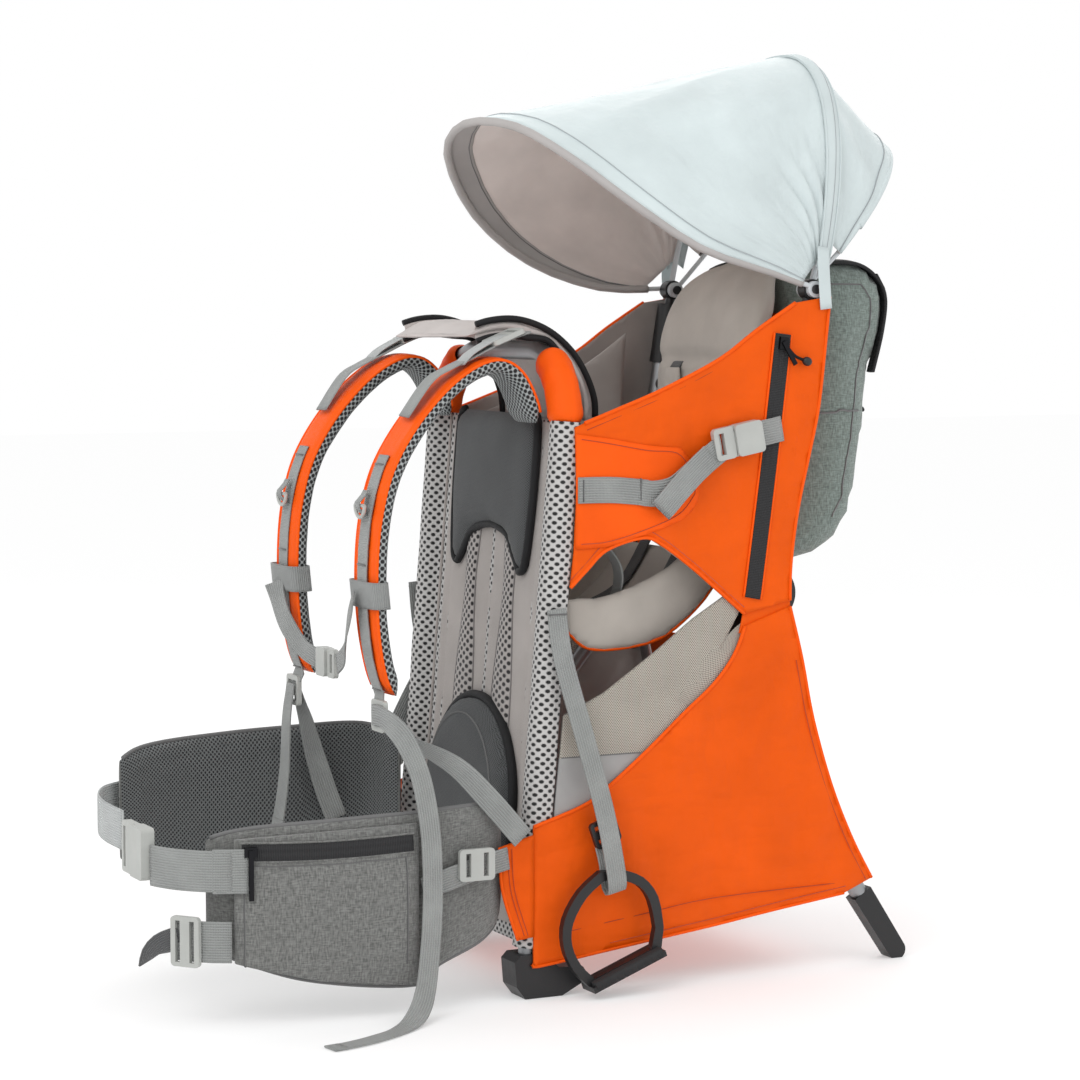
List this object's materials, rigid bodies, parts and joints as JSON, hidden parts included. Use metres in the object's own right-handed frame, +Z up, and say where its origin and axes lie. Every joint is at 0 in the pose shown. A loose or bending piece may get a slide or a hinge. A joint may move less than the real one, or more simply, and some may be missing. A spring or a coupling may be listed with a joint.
{
  "type": "baby carrier backpack",
  "caption": "Framed child carrier backpack with a fold-out stand, padded shoulder straps and hip belt, a harnessed child seat, stirrups and a folding sun canopy on a hoop.",
  "frame": {"origin": "on the ground, at the middle of the bounding box of the standing carrier without its free strap tails", "axes": "+Z up, -Y towards the wearer, where the back panel, hip belt and shoulder straps are, +X towards the wearer's left side"},
  "size_m": [0.4558, 0.8283, 0.9088],
  "materials": {
    "tube_metal": "satin",
    "pin_metal": "satin",
    "black_plastic": "matte",
    "black_metal": "satin",
    "buckle_plastic": "satin",
    "canopy_rod": "satin",
    "canopy_cloth": "woven",
    "orange_cloth": "woven",
    "grey_cloth": "woven",
    "mesh_cloth": "open mesh",
    "dark_cloth": "woven",
    "heather_cloth": "woven",
    "webbing": "ribbed",
    "zip_tape": "woven"
  },
  "bodies": {
    "frame": {"front_frame_tube": "tube_metal", "rear_frame_tubes": "tube_metal", "seat_support_tubes": "tube_metal", "cross_bars": "tube_metal", "stand_hinge_hubs": "black_plastic", "stand_hinge_pins": "pin_metal", "front_feet": "black_plastic", "canopy_sockets": "black_plastic", "storage_rear_panel": "grey_cloth", "storage_floor": "grey_cloth", "side_panels_upper": "orange_cloth", "side_panels_lower": "orange_cloth", "side_tabs": "grey_cloth", "side_linings": "grey_cloth", "mesh_gussets": "mesh_cloth", "front_mesh_panel": "mesh_cloth", "front_top_sleeves": "orange_cloth", "chest_pad": "mesh_cloth", "upper_back_pad": "dark_cloth", "lumbar_pad": "dark_cloth", "seat_sling": "grey_cloth", "seat_back_pad": "grey_cloth", "child_harness": "grey_cloth", "rear_panel": "grey_cloth", "rear_bag": "grey_cloth", "zip_tapes": "zip_tape", "side_straps": "webbing", "shoulder_pads": "dark_cloth", "shoulder_webbing": "webbing", "strap_locks": "buckle_plastic", "sternum_strap": "webbing", "hip_wings": "dark_cloth", "hip_pockets": "heather_cloth", "belt_webbing": "webbing", "buckle_sockets": "buckle_plastic", "strap_tails": "webbing"},
    "kickstand": {"stand_knuckles": "black_plastic", "stand_tubes": "tube_metal", "stand_feet": "black_plastic"},
    "canopy": {"canopy_hubs": "black_plastic", "canopy_main_hoop": "canopy_rod", "canopy_front_cover": "canopy_cloth", "canopy_rear_cover": "canopy_cloth"},
    "canopy_brim": {"canopy_front_hoop": "canopy_rod"},
    "canopy_rear": {"canopy_rear_hoop": "canopy_rod"},
    "side_zip_left": {"zip_slider_left": "black_metal"},
    "side_zip_right": {"zip_slider_right": "black_metal"},
    "pocket_zip_left": {"pocket_slider_left": "black_metal"},
    "pocket_zip_right": {"pocket_slider_right": "black_metal"},
    "bag_zip": {"bag_slider": "black_metal"},
    "side_tongue_left": {"side_buckle_tongue_left": "buckle_plastic"},
    "side_tongue_right": {"side_buckle_tongue_right": "buckle_plastic"},
    "ring_left": {"d_ring_left": "buckle_plastic"},
    "ring_right": {"d_ring_right": "buckle_plastic"},
    "sternum_release": {"sternum_tongue": "buckle_plastic"},
    "belt_release": {"belt_tongue": "buckle_plastic"},
    "foot_rest_left": {"stirrup_left": "black_plastic", "stirrup_strap_left": "webbing"},
    "foot_rest_right": {"stirrup_right": "black_plastic", "stirrup_strap_right": "webbing"}
  },
  "joints": [
    {"name": "stand_fold", "type": "hinge", "parent": "frame", "child": "kickstand", "pos_m": [0, 0.2115, 0.375], "axis": [1, 0, 0], "range_deg": [-36, 0], "deforming": ["side_panels_lower", "storage_floor", "storage_rear_panel"]},
    {"name": "canopy_lift", "type": "slide", "parent": "frame", "child": "canopy", "axis": [0, 0.1599, 0.9871], "range_m": [0, 0.04]},
    {"name": "brim_fold", "type": "hinge", "parent": "canopy", "child": "canopy_brim", "pos_m": [0, 0.25946, 0.67114], "axis": [1, 0, 0], "range_deg": [-60, 0], "deforming": ["canopy_front_cover"]},
    {"name": "rear_fold", "type": "hinge", "parent": "canopy", "child": "canopy_rear", "pos_m": [0, 0.25946, 0.67114], "axis": [1, 0, 0], "range_deg": [0, 30], "deforming": ["canopy_rear_cover"]},
    {"name": "side_zip_open_left", "type": "slide", "parent": "frame", "child": "side_zip_left", "axis": [0, -0.1349, -0.9909], "range_m": [0, 0.215]},
    {"name": "pocket_zip_open_left", "type": "slide", "parent": "frame", "child": "pocket_zip_left", "axis": [0.1205, 0.9927, 0], "range_m": [0, 0.14]},
    {"name": "side_buckle_open_left", "type": "slide", "parent": "frame", "child": "side_tongue_left", "axis": [0, -0.9823, -0.1874], "range_m": [0, 0.02], "deforming": ["side_straps"]},
    {"name": "ring_swing_left", "type": "hinge", "parent": "frame", "child": "ring_left", "pos_m": [0.1, -0.2, 0.47], "axis": [1, 0, 0], "range_deg": [-75, 0]},
    {"name": "foot_rest_swing_left", "type": "hinge", "parent": "frame", "child": "foot_rest_left", "pos_m": [0.162, -0.0265, 0.371], "axis": [1, 0, 0], "range_deg": [0, 35]},
    {"name": "side_zip_open_right", "type": "slide", "parent": "frame", "child": "side_zip_right", "axis": [0, -0.1349, -0.9909], "range_m": [0, 0.215]},
    {"name": "pocket_zip_open_right", "type": "slide", "parent": "frame", "child": "pocket_zip_right", "axis": [-0.1205, 0.9927, 0], "range_m": [0, 0.14]},
    {"name": "side_buckle_open_right", "type": "slide", "parent": "frame", "child": "side_tongue_right", "axis": [0, -0.9823, -0.1874], "range_m": [0, 0.02], "deforming": ["side_straps"]},
    {"name": "ring_swing_right", "type": "hinge", "parent": "frame", "child": "ring_right", "pos_m": [-0.1, -0.2, 0.47], "axis": [1, 0, 0], "range_deg": [-75, 0]},
    {"name": "foot_rest_swing_right", "type": "hinge", "parent": "frame", "child": "foot_rest_right", "pos_m": [-0.162, -0.0265, 0.371], "axis": [1, 0, 0], "range_deg": [0, 35]},
    {"name": "bag_zip_open", "type": "slide", "parent": "frame", "child": "bag_zip", "axis": [1, 0, 0], "range_m": [0, 0.165]},
    {"name": "sternum_buckle_open", "type": "slide", "parent": "frame", "child": "sternum_release", "axis": [1, 0, 0], "range_m": [0, 0.02], "deforming": ["sternum_strap"]},
    {"name": "belt_buckle_open", "type": "slide", "parent": "frame", "child": "belt_release", "axis": [-1, 0, 0], "range_m": [0, 0.03], "deforming": ["belt_webbing"]}
  ]
}
